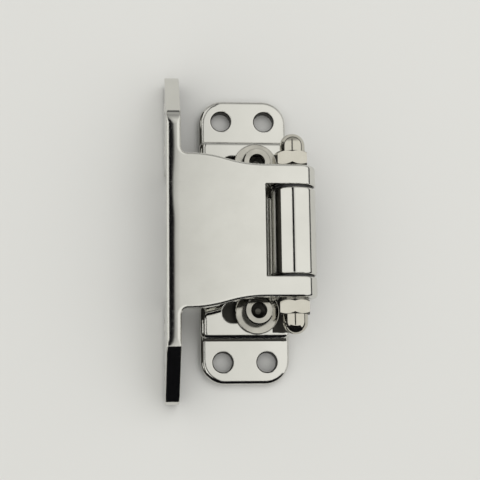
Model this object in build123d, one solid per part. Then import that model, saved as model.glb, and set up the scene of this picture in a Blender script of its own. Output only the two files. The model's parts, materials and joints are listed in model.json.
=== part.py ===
from build123d import *
import math
import os

# All sizes are in millimetres. The hinge lies on its back: X runs across the base plate, from the
# door flange to the pin, Y runs along the pin, and Z stands out of the mounting surface.

# Barrel, bushes and pin
barrel_length = 39.0
knuckle_radius = 10.0
barrel_edge_round = 1.2
thread_diameter = 8.0
pin_shoulder = 1.0
thread_reach = 3.5
thread_chamfer = 0.8
bush_wall = 1.2
bush_body_length = 13.0
bush_flange_lip = 2.2
bush_flange_thickness = 0.9
running_clearance = 0.05
axial_clearance = 0.05

# Cap nuts
nut_across_flats = 13.0
nut_hex_height = 6.9
nut_collar_height = 0.9
nut_collar_step = 0.5
nut_bevel_angle = 36.0
nut_turn = 22.0
nut_dome_step = 0.9
nut_dome_straight = 3.2
nut_bore_spare = 0.6

# Clamp screws and washers
screw_diameter = 8.0
head_diameter = 13.0
head_height = 8.0
head_edge_chamfer = 0.7
knurl_pitch = 0.95
knurl_depth = 0.25
socket_across_flats = 6.0
socket_depth = 4.0
socket_bevel = 0.65
socket_drill_angle = 120.0
screw_tip_gap = 0.6
screw_tip_chamfer = 0.8
washer_diameter = 20.0
washer_thickness = 1.8
washer_hole_play = 0.2
washer_edge_round = 0.5
head_to_knuckle_gap = 0.9
washer_to_barrel_gap = 4.3

# Carrier foot and its slots
foot_thickness = 4.5
foot_corner_radius = 3.0
foot_edge_round = 2.5
foot_end_margin = 11.8
slide_travel = 9.0
slot_spare = 2.0
slot_play = 0.8
ear_to_foot_gap = 6.0
neck_root_radius = 3.0

# Base plate
plate_width = 40.5
plate_thickness = 5.0
plate_end_length = 20.4
plate_corner_radius = 11.0
plate_edge_round = 2.0
pin_overhang = 0.25
mount_hole_diameter = 9.0
mount_hole_side_margin = 10.25
mount_hole_end_margin = 10.0
hole_edge_chamfer = 0.4

# Door leaf
ear_thickness = 9.0
arm_thickness = 7.2
arm_flare = 5.0
arm_root_radius = 2.8
arm_edge_round = 1.5
arm_back_round = 3.0
window_edge_round = 0.6
knuckle_root_radius = 3.0
window_gap = 3.4
flange_thickness = 6.5
flange_gap = 0.75
flange_shoulder = 16.7
flange_tip_run = 23.8
flange_tip_height = 13.0
flange_lift = 0.5
flange_corner_radius = 10.0
flange_back_radius = 2.5
flange_front_round = 1.0
flange_edge_round = 0.5
door_ear_length = 45.0
notch_radius = 4.0
door_hole_diameter = 9.0
door_hole_inset = 10.5
door_hole_spacing = 20.0
door_hole_height = 12.0

# Places along Y, counted from the middle of the pin
barrel_half = barrel_length / 2
ear_inner_y = barrel_half + bush_flange_thickness + axial_clearance
ear_outer_y = ear_inner_y + ear_thickness
clamp_y = barrel_half + washer_to_barrel_gap + washer_diameter / 2
foot_half = clamp_y + foot_end_margin
plate_half = foot_half + plate_end_length
arm_root_y = ear_outer_y + arm_flare
arm_end_y = arm_root_y + arm_root_radius
flange_front_y = arm_root_y + flange_shoulder
flange_half = flange_front_y + flange_tip_run
notch_half = flange_half - door_ear_length

# Places along Z, counted from the mounting surface
foot_top = plate_thickness + foot_thickness
washer_top = foot_top + washer_thickness
head_top = washer_top + head_height
pin_z = foot_top + ear_to_foot_gap + knuckle_radius
leaf_front = pin_z + knuckle_radius
arm_back = leaf_front - arm_thickness

# Places along X, counted from the middle of the base plate
side_x = plate_width / 2
pin_x = side_x + pin_overhang
window_x = pin_x - knuckle_radius - window_gap
flange_inner_x = -(side_x + slide_travel + flange_gap)
flange_outer_x = flange_inner_x - flange_thickness
head_drop = max(pin_z - head_top, 0.0)
knuckle_reach = math.sqrt(max(knuckle_radius**2 - head_drop**2, 0.0))
clamp_x = pin_x - knuckle_reach - head_to_knuckle_gap - head_diameter / 2
slot_run = slide_travel + slot_spare

# Diameters that follow from the fits
pin_diameter = thread_diameter + 2 * pin_shoulder
bush_bore = pin_diameter + 2 * running_clearance
bush_diameter = bush_bore + 2 * bush_wall
slot_width = screw_diameter + 2 * slot_play


def along_pin(shape):
    """Turns a shape drawn along Z so that it lies on the pin axis, pointing to +Y."""
    return Pos(pin_x, 0, pin_z) * Rot(-90, 0, 0) * shape


def mirrored_pair(upper):
    """Returns the upper piece and its mirror image below the middle of the pin."""
    return upper, mirror(upper, about=Plane.XZ)


def lies_at(edge, tolerance=1e-3, **place):
    """True where the whole edge lies at the given X, Y or Z."""
    points = [edge @ share for share in (0, 0.4, 1)]
    return all(abs(getattr(point, axis) - value) < tolerance
               for axis, value in place.items() for point in points)


def edges_at(shape, **place):
    """The edges of a shape that lie at the given X, Y or Z."""
    return [edge for edge in shape.edges() if lies_at(edge, **place)]


def disc(radius, height, bottom=0.0):
    """An upright cylinder that stands at the given height."""
    return Pos(0, 0, bottom) * Cylinder(radius, height, align=(Align.CENTER, Align.CENTER, Align.MIN))


def base_plate():
    outline = RectangleRounded(plate_width, 2 * plate_half, plate_corner_radius)
    plate = extrude(outline, plate_thickness)
    plate = fillet(edges_at(plate, Z=plate_thickness), plate_edge_round)
    spacing_x = plate_width - 2 * mount_hole_side_margin
    spacing_y = 2 * (plate_half - mount_hole_end_margin)
    fixing = disc(mount_hole_diameter / 2, plate_thickness)
    bevel = Pos(0, 0, plate_thickness - hole_edge_chamfer) * Cone(
        mount_hole_diameter / 2, mount_hole_diameter / 2 + hole_edge_chamfer, hole_edge_chamfer,
        align=(Align.CENTER, Align.CENTER, Align.MIN))
    plate -= [place * (fixing + bevel) for place in GridLocations(spacing_x, spacing_y, 2, 2)]
    tapped = disc(screw_diameter / 2 + running_clearance, plate_thickness)
    return plate - [Pos(clamp_x, y, 0) * tapped for y in (clamp_y, -clamp_y)]


def carrier_foot():
    outline = RectangleRounded(plate_width, 2 * foot_half, foot_corner_radius)
    foot = Pos(0, 0, plate_thickness) * extrude(outline, foot_thickness)
    foot = fillet(edges_at(foot, Z=foot_top), foot_edge_round)
    slot = extrude(SlotCenterToCenter(slot_run, slot_width), foot_thickness)
    return foot - [Pos(clamp_x - slot_run / 2, y, plate_thickness) * slot for y in (clamp_y, -clamp_y)]


def carrier_neck():
    """The neck under the barrel: upright on the door side, leaning out to the barrel on the other."""
    root = Vector(side_x - foot_edge_round, foot_top - foot_edge_round)
    axis = Vector(pin_x, pin_z)
    reach = root - axis
    tangent_angle = math.atan2(reach.Y, reach.X) + math.acos(knuckle_radius / reach.length)
    tangent = axis + Vector(math.cos(tangent_angle), math.sin(tangent_angle)) * knuckle_radius
    left = pin_x - knuckle_radius
    toe = left - neck_root_radius
    outline = [
        Polyline((left, foot_top + neck_root_radius), (left, pin_z), (pin_x, pin_z), (tangent.X, tangent.Y),
                 (root.X, root.Y), (toe, root.Y), (toe, foot_top)),
        RadiusArc((toe, foot_top), (left, foot_top + neck_root_radius), neck_root_radius)]
    return extrude(Plane.XZ * make_face(outline), barrel_half - barrel_edge_round, both=True)


def knuckle_carrier():
    barrel = Cylinder(knuckle_radius, barrel_length)
    barrel = fillet(barrel.edges().filter_by(GeomType.CIRCLE), barrel_edge_round)
    body = carrier_foot() + carrier_neck() + along_pin(barrel)
    return body - along_pin(Cylinder(bush_diameter / 2 + running_clearance, barrel_length))


def upper_bush():
    sleeve = disc(bush_diameter / 2, bush_body_length, barrel_half - bush_body_length)
    rim = disc(bush_diameter / 2 + bush_flange_lip, bush_flange_thickness, barrel_half)
    return along_pin(sleeve + rim - Cylinder(bush_bore / 2, 2 * ear_inner_y))


def hinge_pin():
    body = Cylinder(pin_diameter / 2, 2 * ear_outer_y)
    stud = Cylinder(thread_diameter / 2, 2 * (ear_outer_y + nut_hex_height + thread_reach))
    ends = stud.edges().filter_by(GeomType.CIRCLE)
    return along_pin(body + chamfer(ends, thread_chamfer))


def upper_cap_nut():
    """A cap nut: a low collar, a hexagon bevelled at both ends, and a round cap with a blind bore."""
    flat = nut_across_flats / 2
    corner = nut_across_flats / math.sqrt(3)
    drop = (corner - flat) * math.tan(math.radians(nut_bevel_angle))
    prism = extrude(Rot(0, 0, nut_turn) * RegularPolygon(flat, 6, major_radius=False), nut_hex_height)
    collar = flat - nut_collar_step
    turned = make_face(Polyline(
        (0, 0), (collar, 0), (collar, nut_collar_height), (flat, nut_collar_height),
        (corner, nut_collar_height + drop), (corner, nut_hex_height - drop), (flat, nut_hex_height),
        (0, nut_hex_height), close=True))
    nut = prism & revolve(Plane.XZ * turned, Axis.Z)
    dome_radius = flat - nut_dome_step
    dome_base = nut_hex_height + nut_dome_straight
    dome_side = Polyline((0, dome_base + dome_radius), (0, nut_hex_height), (dome_radius, nut_hex_height),
                         (dome_radius, dome_base))
    dome_arc = RadiusArc((dome_radius, dome_base), (0, dome_base + dome_radius), -dome_radius)
    nut += revolve(Plane.XZ * make_face([dome_side, dome_arc]), Axis.Z)
    nut -= disc(thread_diameter / 2 + running_clearance, nut_hex_height + thread_reach + nut_bore_spare)
    return along_pin(Pos(0, 0, ear_outer_y) * nut)


def knurled_outline():
    """Outline of the screw head from above: round, with fine grooves for the fingers."""
    tips = round(math.pi * head_diameter / knurl_pitch)
    points = []
    for i in range(2 * tips):
        radius = head_diameter / 2 - (i % 2) * knurl_depth
        angle = math.pi * i / tips
        points.append((radius * math.cos(angle), radius * math.sin(angle)))
    return make_face(Polyline(*points, close=True))


def key_socket():
    """The hexagon socket, bevelled at its mouth, which is at Z = 0, and drilled to a point at its bottom."""
    flat = socket_across_flats / 2
    upright = (Align.CENTER, Align.CENTER, Align.MIN)
    hexagon = extrude(RegularPolygon(flat, 6, major_radius=False), -socket_depth)
    mouth = Pos(0, 0, -socket_bevel) * Cone(flat, flat + socket_bevel, socket_bevel, align=upright)
    drill_depth = flat / math.tan(math.radians(socket_drill_angle / 2))
    drill_point = Pos(0, 0, -socket_depth) * Rot(180, 0, 0) * Cone(flat, 0, drill_depth, align=upright)
    return hexagon + mouth + drill_point


def upper_clamp_screw():
    head = disc(head_diameter / 2, head_height, washer_top)
    head = chamfer(edges_at(head, Z=head_top), head_edge_chamfer)
    head &= Pos(0, 0, washer_top) * extrude(knurled_outline(), head_height)
    head -= Pos(0, 0, head_top) * key_socket()
    shank = disc(screw_diameter / 2, washer_top - screw_tip_gap, screw_tip_gap)
    shank = chamfer(edges_at(shank, Z=screw_tip_gap), screw_tip_chamfer)
    return Pos(clamp_x, clamp_y, 0) * (head + shank)


def upper_clamp_washer():
    ring = disc(washer_diameter / 2, washer_thickness, foot_top)
    ring = fillet(edges_at(ring, Z=washer_top), washer_edge_round)
    return Pos(clamp_x, clamp_y, 0) * (ring - disc(screw_diameter / 2 + washer_hole_play, washer_top))


def leaf_plan(start):
    """Outline of the arm from the front: each side swells from the ears to the flange in two arcs."""
    bend = flange_inner_x + arm_root_radius
    flare_radius = ((window_x - bend) ** 2 + arm_flare**2) / (4 * arm_flare)
    outline = [Line((pin_x, -ear_outer_y), (pin_x, ear_outer_y)),
               Line((start, -arm_end_y), (start, arm_end_y))]
    for side in (1, -1):
        ear = (window_x, side * ear_outer_y)
        halfway = ((window_x + bend) / 2, side * (ear_outer_y + arm_flare / 2))
        root = (bend, side * arm_root_y)
        flange = (flange_inner_x, side * arm_end_y)
        outline += [
            Line((pin_x, side * ear_outer_y), ear),
            RadiusArc(ear, halfway, side * flare_radius),
            RadiusArc(halfway, root, -side * flare_radius),
            RadiusArc(root, flange, side * arm_root_radius),
            Line(flange, (start, side * arm_end_y))]
    return make_face(outline)


def leaf_arm():
    """The flat arm, waisted from the flange to the ears, with the window that the barrel fills."""
    start = flange_outer_x + flange_front_round
    arm = Pos(0, 0, arm_back) * extrude(leaf_plan(start), arm_thickness)
    arm -= Pos(window_x, 0, arm_back) * Box(
        pin_x - window_x, 2 * ear_inner_y, arm_thickness, align=(Align.MIN, Align.CENTER, Align.MIN))
    square_ends = (dict(X=pin_x), dict(X=start), dict(Y=arm_end_y), dict(Y=-arm_end_y))
    window = (dict(X=window_x), dict(Y=ear_inner_y), dict(Y=-ear_inner_y))
    for level, radius in ((leaf_front, arm_edge_round), (arm_back, arm_back_round)):
        sides = [edge for edge in edges_at(arm, Z=level)
                 if not any(lies_at(edge, **place) for place in square_ends + window)]
        arm = fillet(sides, radius)
    front = edges_at(arm, Z=leaf_front)
    rim = [edge for edge in front if any(lies_at(edge, **place) for place in window)]
    return fillet(rim, window_edge_round)


def knuckle_ear():
    """One rounded knuckle, with the hollow where it runs into the back of the arm."""
    ear = Pos(0, 0, ear_inner_y) * disc(knuckle_radius, ear_thickness)
    ear = fillet(edges_at(ear, Z=ear_outer_y), arm_edge_round)
    ear = fillet(edges_at(ear, Z=ear_inner_y), window_edge_round)
    drop = pin_z - (arm_back - knuckle_root_radius)
    run = math.sqrt((knuckle_radius + knuckle_root_radius) ** 2 - drop**2)
    centre = Vector(pin_x - run, arm_back - knuckle_root_radius)
    web = make_face(Polyline((centre.X, arm_back), (pin_x, arm_back), (pin_x, pin_z),
                             (centre.X, centre.Y), close=True))
    web -= Pos(centre.X, centre.Y) * Circle(knuckle_root_radius)
    length = ear_thickness - arm_edge_round - window_edge_round
    web = extrude(Plane.XZ.offset(-ear_inner_y - window_edge_round) * web, -length)
    return along_pin(ear) + web


def flange_side():
    """Outline of the flange from the door's side: sloped ends and two ears with a notch between them."""
    tip_z = flange_lift + flange_tip_height
    corners = ((flange_front_y, leaf_front, flange_corner_radius), (flange_half, tip_z, flange_corner_radius),
               (flange_half, flange_lift, flange_back_radius), (notch_half, flange_lift, flange_back_radius),
               (notch_half, arm_back, notch_radius))
    right = [(y, z) for y, z, radius in corners]
    left = [(-y, z) for y, z in reversed(right)]
    outline = make_face(Polyline(*right, *left, close=True))
    for y, z, radius in corners:
        for side in (1, -1):
            outline = fillet(outline.vertices().sort_by_distance((side * y, z, 0))[0], radius)
    return outline


def flange_section():
    """Outline of the flange from its end: rounded where it meets the front."""
    section = Pos(flange_outer_x, 0) * Rectangle(flange_thickness, leaf_front, align=(Align.MIN, Align.MIN))
    for x, radius in ((flange_outer_x, flange_front_round), (flange_inner_x, arm_edge_round)):
        section = fillet(section.vertices().sort_by_distance((x, leaf_front, 0))[0], radius)
    return section


def leaf_flange():
    """The upright door flange with its screw holes."""
    flange = extrude(Plane.YZ.offset(flange_outer_x) * flange_side(), flange_thickness)
    flange = fillet(edges_at(flange, X=flange_outer_x), flange_edge_round)
    flange = fillet(edges_at(flange, X=flange_inner_x), flange_edge_round)
    flange &= extrude(Plane.XZ * flange_section(), flange_half, both=True)
    hole = Pos(flange_outer_x, 0, flange_lift + door_hole_height) * Rot(0, 90, 0) * disc(
        door_hole_diameter / 2, flange_thickness)
    for y in (notch_half + door_hole_inset, notch_half + door_hole_inset + door_hole_spacing):
        flange -= [Pos(0, y, 0) * hole, Pos(0, -y, 0) * hole]
    return flange


def door_leaf():
    leaf = leaf_flange() + leaf_arm()
    for ear in mirrored_pair(knuckle_ear()):
        leaf += ear
    return leaf - along_pin(Cylinder(pin_diameter / 2 + running_clearance, 2 * ear_outer_y))


def export(name, shape):
    export_step(shape, f"parts/{name}.step")


def main():
    os.makedirs("parts", exist_ok=True)
    export("base_plate", base_plate())
    export("knuckle_carrier", knuckle_carrier())
    export("door_leaf", door_leaf())
    export("hinge_pin", hinge_pin())
    pairs = {"bush": upper_bush, "cap_nut": upper_cap_nut, "clamp_screw": upper_clamp_screw,
             "clamp_washer": upper_clamp_washer}
    for name, make in pairs.items():
        upper, lower = mirrored_pair(make())
        export(f"upper_{name}", upper)
        export(f"lower_{name}", lower)


main()
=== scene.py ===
import json
import math

import bpy
from mathutils import Matrix, Vector

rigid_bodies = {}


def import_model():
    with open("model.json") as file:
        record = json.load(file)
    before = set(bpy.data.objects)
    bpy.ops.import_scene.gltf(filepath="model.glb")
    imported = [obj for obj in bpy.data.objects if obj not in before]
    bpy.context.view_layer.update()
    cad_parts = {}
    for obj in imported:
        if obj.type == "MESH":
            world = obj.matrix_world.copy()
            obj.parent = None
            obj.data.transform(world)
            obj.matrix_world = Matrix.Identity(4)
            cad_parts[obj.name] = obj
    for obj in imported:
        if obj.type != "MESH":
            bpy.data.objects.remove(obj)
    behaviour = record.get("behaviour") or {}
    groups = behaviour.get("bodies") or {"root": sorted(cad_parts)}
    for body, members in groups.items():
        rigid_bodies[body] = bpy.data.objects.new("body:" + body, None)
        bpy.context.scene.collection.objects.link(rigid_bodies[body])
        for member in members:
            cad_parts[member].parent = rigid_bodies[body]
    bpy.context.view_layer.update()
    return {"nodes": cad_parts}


# Places on the hinge that finishes and painted shade are centred on or end at, in metres
CLAMP_X = 0.005254
CLAMP_Y = 0.0338
SOCKET_RADIUS = 0.0036
SOCKET_BOTTOM = (0.0011, 0.0016)
DOME_RADIUS = 0.0058
PIN_X = 0.0205
PIN_Z = 0.0255
PLATE_TOP = 0.005
SEAT_DEPTH = 0.0002
SEAT_Y = (-0.0465, 0.0451)
COVERED_X = (0.0122, 0.0400)
COVERED_Y = (-0.0430, 0.0392)
COVERED_Z = 0.0200
HOLLOW_START = (-0.008, -0.002)
HOLLOW_END = (0.010, 0.013)
HOLES_X = 0.0155
HOLES_Y = 0.0612
WINDOW_X = 0.012

# How far a surface faces along an axis, from -1 to 1, where a finish or its painted shade changes
WALL_LIMIT = 0.93
INNER_LIMIT = 0.95
HEAD_SIDE_LIMIT = 0.5
BEVEL_LIMIT = 0.3
BACK_LIMITS = (-0.6, -0.2)

# Colours of the finishes, two tones for each polished steel
CAST_STEEL = ((0.690, 0.685, 0.650, 1.0), (0.650, 0.645, 0.610, 1.0))
NUT_STEEL = ((0.590, 0.570, 0.510, 1.0), (0.550, 0.530, 0.470, 1.0))
SCREW_STEEL = ((0.500, 0.485, 0.440, 1.0), (0.380, 0.370, 0.335, 1.0))
# Dark grey painted into corners, gaps, recesses and back faces as painted shade
PAINTED_SHADE_STEEL = (0.060, 0.058, 0.052, 1.0)
BUSH_LIGHT = (0.050, 0.050, 0.052, 1.0)
BUSH_DARK = (0.030, 0.030, 0.032, 1.0)

# Painted shade in tight corners and gaps, found by ambient occlusion, and softened edges, in metres
CORNER_REACH = 0.004
DEEP_REACH = 0.007
PLATE_REACH = 0.002
CORNER_SHADE = (0.28, 0.66)
CORNER_SAMPLES = 8
EDGE_ROUND = 0.0009
EDGE_SAMPLES = 6

# Fineness of the patterns in the finishes
CAST_CLOUD = 70.0
CAST_WAVE = 28.0
CAST_GRAIN = 1800.0
TURNED_CLOUD = 160.0
TURNED_RINGS = 2600.0
BUSH_CLOUD = 240.0
BUSH_GRAIN = 2400.0
CLOUD_SHOWS = (0.3, 0.7)
MARK_STRETCH = (9.0, 900.0, 900.0)
MARK_SCALE = 1.6
MARK_SHOWS = (0.60, 0.74)
MARK_TURNS = (0.35, 1.75)

# Roughness of the finishes, from and to
CAST_POLISH = (0.01, 0.03)
MARK_ROUGH = 0.03
RING_POLISH = (0.02, 0.09)
CLOUD_POLISH = (0.0, 0.05)
DULL_ROUGH = 0.4
SOCKET_ROUGH = 0.55
# How much painted shade, as dark grey colour and more roughness, the surfaces facing the mounting side get
BACK_SHADE = 0.8
BUSH_ROUGH = (0.35, 0.48)

# Relief of the finishes: strength, and depth in metres
WAVE_RELIEF = (0.10, 0.0006)
GRAIN_RELIEF = (0.25, 0.00008)
MARK_RELIEF = (0.006, 0.00003)
RING_RELIEF = (0.05, 0.00004)
BUSH_RELIEF = (0.08, 0.00003)

# Camera
EYE = Vector((-0.05498, -0.09095, 0.56699))
AIM = Vector((-0.00253, -0.00143, 0.0145))
ROLL = -0.012
LENS_MM = 93.28
SENSOR_MM = 36.0
CLIP_START = 0.01

# Studio: a bright sky with a dark horizon, a dark slot overhead, a dark card, a soft lamp and a pale floor
SKY_LEVEL = 1.05
SKY_COLOUR = (1.0, 0.995, 0.955, 1.0)
DARK_COLOUR = (0.010, 0.010, 0.012, 1.0)
HORIZON = (0.11, 0.18)
FAR_SIDE = (0.55, 0.85)
FAR_LEVEL = 0.42
CARD_X = (-0.068, 0.080)
CARD_Y = -0.095
CARD_TOP = 0.092
SLOT_HEIGHT = 0.58
SLOT_Y = (-0.45, 1.1)
SLOT_COVER = ((-0.110, 1.0), (-0.0112, 1.0), (-0.0098, 0.45), (-0.005, 0.24), (0.030, 0.12), (0.090, 0.0))
LAMP_WATTS = 1.2
LAMP_SIZE = 0.6
LAMP_PLACE = (0.25, 0.35, 0.9)
FLOOR_DROP = 0.0003
FLOOR_X = (-20.0, 20.0)
FLOOR_Y = (-20.0, 20.0)
NEAR_FLOOR_X = (-4.0, 4.0)
NEAR_FLOOR_Y = (-0.118, 4.0)
FLOOR_COLOUR = (0.68, 0.68, 0.67, 1.0)
FLOOR_ROUGH = 0.9
FLOOR_SHINE = 0.1


def clear_scene():
    """Starts from an empty scene."""
    for obj in list(bpy.data.objects):
        bpy.data.objects.remove(obj)


class Nodes:
    """A small helper that adds linked shader nodes to one material or world."""

    def __init__(self, owner, shader):
        owner.use_nodes = True
        self.owner = owner
        self.tree = owner.node_tree
        self.shader = self.tree.nodes[shader]

    def add(self, kind, settings=None, **inputs):
        """A new node with the given settings and inputs."""
        node = self.tree.nodes.new(kind)
        for key, value in (settings or {}).items():
            setattr(node, key, value)
        for key, value in inputs.items():
            self.feed(node, key.replace("_", " "), value)
        return node

    def feed(self, node, socket, value):
        """Links or sets one input of a node."""
        if isinstance(value, bpy.types.NodeSocket):
            self.tree.links.new(value, node.inputs[socket])
        else:
            node.inputs[socket].default_value = value

    def set(self, **values):
        """Links or sets the shader's own inputs."""
        for key, value in values.items():
            self.feed(self.shader, key.replace("_", " "), value)

    def place(self, scale=(1, 1, 1), turn=(0, 0, 0)):
        """Object coordinates, turned and stretched."""
        source = self.add("ShaderNodeTexCoord")
        placed = self.add("ShaderNodeMapping", Vector=source.outputs["Object"], Rotation=turn, Scale=scale)
        return placed.outputs["Vector"]

    def axes(self, kind="Object"):
        """The X, Y and Z of a coordinate."""
        source = self.add("ShaderNodeTexCoord")
        return self.add("ShaderNodeSeparateXYZ", Vector=source.outputs[kind]).outputs

    def noise(self, vector, scale, detail=2.0):
        """A cloudy pattern from 0 to 1."""
        return self.add("ShaderNodeTexNoise", Vector=vector, Scale=scale, Detail=detail).outputs["Fac"]

    def span(self, value, low, high, start=0.0, end=1.0):
        """Stretches a value from one range to another, and stops at its ends."""
        return self.add("ShaderNodeMapRange", Value=value, From_Min=start, From_Max=end,
                        To_Min=low, To_Max=high).outputs["Result"]

    def math(self, operation, first, second=0.0, third=0.0):
        """One sum on up to three values."""
        node = self.add("ShaderNodeMath", {"operation": operation})
        for socket, value in enumerate((first, second, third)):
            self.feed(node, socket, value)
        return node.outputs["Value"]

    def size(self, value):
        """A value without its sign."""
        return self.math("ABSOLUTE", value)

    def above(self, value, limit):
        """1 where a value is over a limit."""
        return self.math("GREATER_THAN", value, limit)

    def below(self, value, limit):
        """1 where a value is under a limit."""
        return self.math("LESS_THAN", value, limit)

    def every(self, first, *others):
        """High only where all of the values are high."""
        for other in others:
            first = self.math("MULTIPLY", first, other)
        return first

    def between(self, value, limits):
        """1 where a value lies between two limits."""
        return self.every(self.above(value, limits[0]), self.below(value, limits[1]))

    def most(self, first, second):
        """The higher of two values."""
        return self.math("MAXIMUM", first, second)

    def vector(self, operation, first, second=(0, 0, 0)):
        """One sum on two vectors."""
        node = self.add("ShaderNodeVectorMath", {"operation": operation})
        self.feed(node, 0, first)
        self.feed(node, 1, second)
        return node.outputs

    def blend(self, factor, first, second):
        """A colour between two colours."""
        node = self.add("ShaderNodeMix", {"data_type": "RGBA"})
        for socket, value in ((0, factor), (6, first), (7, second)):
            self.feed(node, socket, value)
        return node.outputs[2]

    def bump(self, height, relief, normal=None):
        """A surface direction with the given relief, on top of another one."""
        strength, distance = relief
        node = self.add("ShaderNodeBump", Height=height, Strength=strength, Distance=distance)
        if normal is not None:
            self.feed(node, "Normal", normal)
        return node.outputs["Normal"]


def new_finish(name):
    """An empty finish."""
    return Nodes(bpy.data.materials.new(name), "Principled BSDF")


def painted_corner_shade(nodes, reach=CORNER_REACH):
    """Painted shade: high in tight corners and gaps, where ambient occlusion finds the surface hemmed in."""
    node = nodes.add("ShaderNodeAmbientOcclusion", {"samples": CORNER_SAMPLES}, Distance=reach)
    return nodes.span(node.outputs["AO"], 1.0, 0.0, *CORNER_SHADE)


def scratches(nodes, turn):
    """Fine straight marks left by polishing, as a value that is high on a mark."""
    vector = nodes.place(scale=MARK_STRETCH, turn=(0, 0, turn))
    return nodes.span(nodes.noise(vector, MARK_SCALE, detail=3.0), 0.0, 1.0, *MARK_SHOWS)


def steel(nodes, tones, painted_shade, polish, cloud):
    """Bright steel of two tones with the given roughness that turns dark grey, as painted shade, and rough
    where the painted shade value is high.
    """
    bright = nodes.blend(nodes.span(cloud, 0.0, 1.0, *CLOUD_SHOWS), *tones)
    nodes.set(Metallic=1.0, Base_Color=nodes.blend(painted_shade, bright, PAINTED_SHADE_STEEL),
              Roughness=nodes.math("MULTIPLY_ADD", painted_shade, DULL_ROUGH, polish))


def casting(name, shaded_parts, reach=CORNER_REACH):
    """Mirror-polished cast steel: a slightly wavy skin with faint marks, painted dark grey and made rougher,
    as painted shade, in corners and on the given parts.
    """
    nodes = new_finish(name)
    painted_shade = nodes.most(painted_corner_shade(nodes, reach), shaded_parts(nodes))
    cloud = nodes.noise(nodes.place(), CAST_CLOUD, detail=3.0)
    marks = nodes.math("ADD", *(scratches(nodes, turn) for turn in MARK_TURNS))
    polish = nodes.math("MULTIPLY_ADD", marks, MARK_ROUGH, nodes.span(cloud, *CAST_POLISH))
    steel(nodes, CAST_STEEL, painted_shade, polish, cloud)
    edges = nodes.add("ShaderNodeBevel", {"samples": EDGE_SAMPLES}, Radius=EDGE_ROUND).outputs["Normal"]
    wave = nodes.bump(nodes.noise(nodes.place(), CAST_WAVE, detail=1.0), WAVE_RELIEF, edges)
    grain = nodes.every(nodes.noise(nodes.place(), CAST_GRAIN), painted_shade)
    nodes.set(Normal=nodes.bump(marks, MARK_RELIEF, nodes.bump(grain, GRAIN_RELIEF, wave)))
    return nodes.owner


def plate_seat_and_holes(nodes):
    """Painted shade on the top of the base plate under the carrier's foot, and on the walls of its holes."""
    x, y, z = nodes.axes()
    seat = nodes.every(nodes.between(y, SEAT_Y), nodes.above(z, PLATE_TOP - SEAT_DEPTH))
    inside = nodes.every(nodes.below(nodes.size(x), HOLES_X), nodes.below(nodes.size(y), HOLES_Y))
    wall = nodes.below(nodes.size(nodes.axes("Normal")[2]), WALL_LIMIT)
    return nodes.most(seat, nodes.every(inside, wall))


def facing_back(nodes):
    """Painted shade on surfaces that face the mounting side."""
    return nodes.span(nodes.axes("Normal")[2], BACK_SHADE, 0.0, *BACK_LIMITS)


def back_and_under_nuts(nodes):
    """Painted shade on the carrier's back, and on the end of its foot under the nuts."""
    x, y, z = nodes.axes()
    covered = nodes.every(nodes.below(z, COVERED_Z), nodes.between(x, COVERED_X), nodes.between(y, COVERED_Y))
    return nodes.most(facing_back(nodes), covered)


def hollow_and_inner_sides(nodes):
    """Painted shade in the hollow of the leaf behind its window, on the window's edge and on the inner side
    of the flange.
    """
    x = nodes.axes()[0]
    hollow = nodes.every(facing_back(nodes), nodes.span(x, 0.0, 1.0, *HOLLOW_START),
                         nodes.span(x, 1.0, 0.0, *HOLLOW_END))
    inner = nodes.every(nodes.above(nodes.axes("Normal")[0], INNER_LIMIT), nodes.below(x, WINDOW_X))
    return nodes.most(hollow, inner)


def head_side_and_socket(nodes, radius, along, shaded_corners):
    """Painted shade on the knurled side of a screw's head and in its key socket, except at the socket's
    bottom, which is left lighter.
    """
    side = nodes.every(nodes.below(along, HEAD_SIDE_LIMIT), nodes.above(radius, SOCKET_RADIUS))
    inside = nodes.below(radius, SOCKET_RADIUS)
    painted_shade = nodes.most(shaded_corners, nodes.math("ADD", side, inside))
    return nodes.every(painted_shade, nodes.span(radius, 0.0, 1.0, *SOCKET_BOTTOM))


def bevels(nodes, radius, along, shaded_corners):
    """Painted shade on the turned bevels at the ends of a nut's hexagon, and in tight corners."""
    return nodes.most(shaded_corners, nodes.every(nodes.above(radius, DOME_RADIUS), nodes.above(along, BEVEL_LIMIT)))


def only_corner_shade(nodes, radius, along, shaded_corners):
    """Painted shade in tight corners alone."""
    return shaded_corners


def turned_steel(name, tones, centre, axis, shaded_parts, matt_within=0.0):
    """Polished steel with faint rings from turning, round the given centre line, and painted shade on some
    parts and in tight corners.
    """
    nodes = new_finish(name)
    source = nodes.add("ShaderNodeTexCoord").outputs["Object"]
    away = nodes.vector("SUBTRACT", source, centre)["Vector"]
    across = [0.0 if i == axis else 1.0 for i in range(3)]
    radius = nodes.vector("LENGTH", nodes.vector("MULTIPLY", away, across)["Vector"])["Value"]
    ring_place = nodes.add("ShaderNodeCombineXYZ", X=radius).outputs["Vector"]
    rings = nodes.noise(ring_place, TURNED_RINGS)
    cloud = nodes.noise(nodes.place(), TURNED_CLOUD)
    polish = nodes.math("ADD", nodes.span(rings, *RING_POLISH), nodes.span(cloud, *CLOUD_POLISH))
    polish = nodes.math("MULTIPLY_ADD", nodes.below(radius, matt_within), SOCKET_ROUGH, polish)
    along = nodes.size(nodes.axes("Normal")[axis])
    steel(nodes, tones, shaded_parts(nodes, radius, along, painted_corner_shade(nodes)), polish, cloud)
    nodes.set(Normal=nodes.bump(rings, RING_RELIEF))
    return nodes.owner


def bush_plastic(name):
    """Black acetal, slightly waxy, with a faint moulded grain."""
    nodes = new_finish(name)
    cloud = nodes.noise(nodes.place(), BUSH_CLOUD, detail=3.0)
    nodes.set(Base_Color=nodes.blend(cloud, BUSH_LIGHT, BUSH_DARK), Roughness=nodes.span(cloud, *BUSH_ROUGH),
              Normal=nodes.bump(nodes.noise(nodes.place(), BUSH_GRAIN), BUSH_RELIEF))
    return nodes.owner


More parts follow.
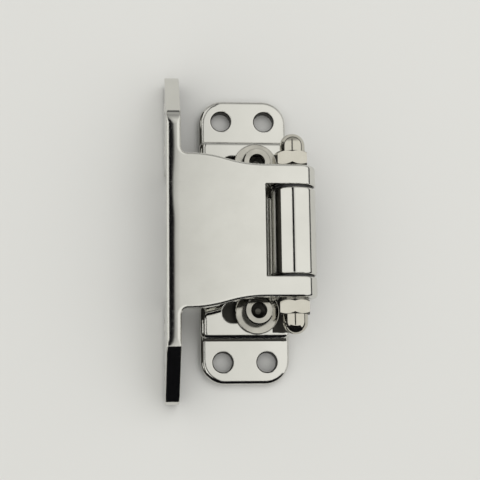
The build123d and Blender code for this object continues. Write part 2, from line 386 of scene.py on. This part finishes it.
def paint(frame):
    """Gives each node of the hinge its own finish."""
    pin_line = (PIN_X, 0, PIN_Z)
    nut = turned_steel("nut_finish", NUT_STEEL, pin_line, 1, bevels)
    bush = bush_plastic("bush_finish")
    finishes = {
        "base_plate": casting("base_plate_finish", plate_seat_and_holes, PLATE_REACH),
        "knuckle_carrier": casting("carrier_finish", back_and_under_nuts, DEEP_REACH),
        "door_leaf": casting("door_leaf_finish", hollow_and_inner_sides),
        "hinge_pin": turned_steel("pin_finish", NUT_STEEL, pin_line, 1, only_corner_shade)}
    for side, sign in (("upper", 1), ("lower", -1)):
        clamp = (CLAMP_X, sign * CLAMP_Y, 0)
        finishes[f"{side}_clamp_screw"] = turned_steel(
            f"{side}_screw_finish", SCREW_STEEL, clamp, 2, head_side_and_socket, SOCKET_BOTTOM[1])
        finishes[f"{side}_clamp_washer"] = turned_steel(
            f"{side}_washer_finish", SCREW_STEEL, clamp, 2, only_corner_shade)
        finishes[f"{side}_cap_nut"] = nut
        finishes[f"{side}_bush"] = bush
    for name, finish in finishes.items():
        for slot in frame["nodes"][name].material_slots:
            slot.link = "OBJECT"
            slot.material = finish


def level(x, y, z):
    """The corners of a level rectangle."""
    return [(x[0], y[0], z), (x[1], y[0], z), (x[1], y[1], z), (x[0], y[1], z)]


def standing(x, y, top):
    """The corners of a rectangle that stands on the floor across the hinge."""
    return [(x[0], y, 0.0), (x[1], y, 0.0), (x[1], y, top), (x[0], y, top)]


def stage_sheet(name, places):
    """A rectangle of the studio, which isn't part of the hinge."""
    mesh = bpy.data.meshes.new(name)
    mesh.from_pydata(places, [], [(0, 1, 2, 3)])
    obj = bpy.data.objects.new(name, mesh)
    bpy.context.collection.objects.link(obj)
    nodes = new_finish(f"{name}_finish")
    mesh.materials.append(nodes.owner)
    return obj, nodes


def only_reflected(obj):
    """Leaves an object to reflections alone."""
    obj.visible_camera = False
    obj.visible_diffuse = False
    obj.visible_shadow = False


def floor():
    """A wide pale floor, of which reflections show only the part near the hinge."""
    wide, wide_nodes = stage_sheet("floor", level(FLOOR_X, FLOOR_Y, -FLOOR_DROP))
    wide.visible_glossy = False
    near, near_nodes = stage_sheet("near_floor", level(NEAR_FLOOR_X, NEAR_FLOOR_Y, -FLOOR_DROP / 2))
    only_reflected(near)
    for nodes in (wide_nodes, near_nodes):
        nodes.set(Base_Color=FLOOR_COLOUR, Roughness=FLOOR_ROUGH, Specular_IOR_Level=FLOOR_SHINE)


def dark_sheet(name, places):
    """A dark rectangle that only reflections show."""
    obj, nodes = stage_sheet(name, places)
    only_reflected(obj)
    nodes.set(Base_Color=DARK_COLOUR, Roughness=1.0, Specular_IOR_Level=0.0)
    return nodes


def dark_slot():
    """The dark slot between two overhead softboxes, which fades out to the right."""
    left, right = SLOT_COVER[0][0], SLOT_COVER[-1][0]
    nodes = dark_sheet("dark_slot", level((left, right), SLOT_Y, SLOT_HEIGHT))
    ramp = nodes.add("ShaderNodeValToRGB", Fac=nodes.span(nodes.axes()[0], 0.0, 1.0, left, right))
    stops = ramp.color_ramp.elements
    while len(stops) < len(SLOT_COVER):
        stops.new(0.5)
    for stop, (x, cover) in zip(stops, SLOT_COVER):
        stop.position = (x - left) / (right - left)
        stop.color = (cover, cover, cover, 1.0)
    nodes.set(Alpha=ramp.outputs["Color"])


def dark_card():
    """A dark card that stands at the hinge's lower end."""
    dark_sheet("dark_card", standing(CARD_X, CARD_Y, CARD_TOP))


def lamp():
    """A soft lamp that gives the floor a shadow and doesn't show in reflections."""
    light = bpy.data.lights.new("lamp", "AREA")
    light.size = LAMP_SIZE
    light.energy = LAMP_WATTS
    obj = bpy.data.objects.new("lamp", light)
    obj.location = LAMP_PLACE
    obj.rotation_euler = (-Vector(LAMP_PLACE)).to_track_quat("-Z", "Y").to_euler()
    obj.visible_glossy = False
    bpy.context.collection.objects.link(obj)


def world():
    """A bright sky that is dark at the horizon and dimmer on the far side."""
    nodes = Nodes(bpy.data.worlds.new("studio"), "Background")
    _, y, z = nodes.axes("Generated")
    lit = nodes.every(nodes.span(z, 0.0, 1.0, *HORIZON), nodes.span(y, 1.0, FAR_LEVEL, *FAR_SIDE))
    nodes.set(Color=nodes.blend(lit, DARK_COLOUR, SKY_COLOUR), Strength=SKY_LEVEL)
    bpy.context.scene.world = nodes.owner


def camera():
    """A camera at the eye that looks at the aim, turned a little about its line of sight."""
    data = bpy.data.cameras.new("camera")
    data.lens = LENS_MM
    data.sensor_width = SENSOR_MM
    data.clip_start = CLIP_START
    obj = bpy.data.objects.new("camera", data)
    bpy.context.collection.objects.link(obj)
    ahead = (AIM - EYE).normalized()
    right = ahead.cross(Vector((0, 1, 0))).normalized()
    up = right.cross(ahead)
    tilted_right = math.cos(ROLL) * right + math.sin(ROLL) * up
    tilted_up = math.cos(ROLL) * up - math.sin(ROLL) * right
    turn = Matrix((tilted_right, tilted_up, -ahead)).transposed()
    obj.matrix_world = Matrix.Translation(EYE) @ turn.to_4x4()
    bpy.context.scene.camera = obj


clear_scene()
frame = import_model()
paint(frame)
floor()
dark_slot()
dark_card()
lamp()
world()
camera()
bpy.context.scene.view_settings.view_transform = "Standard"
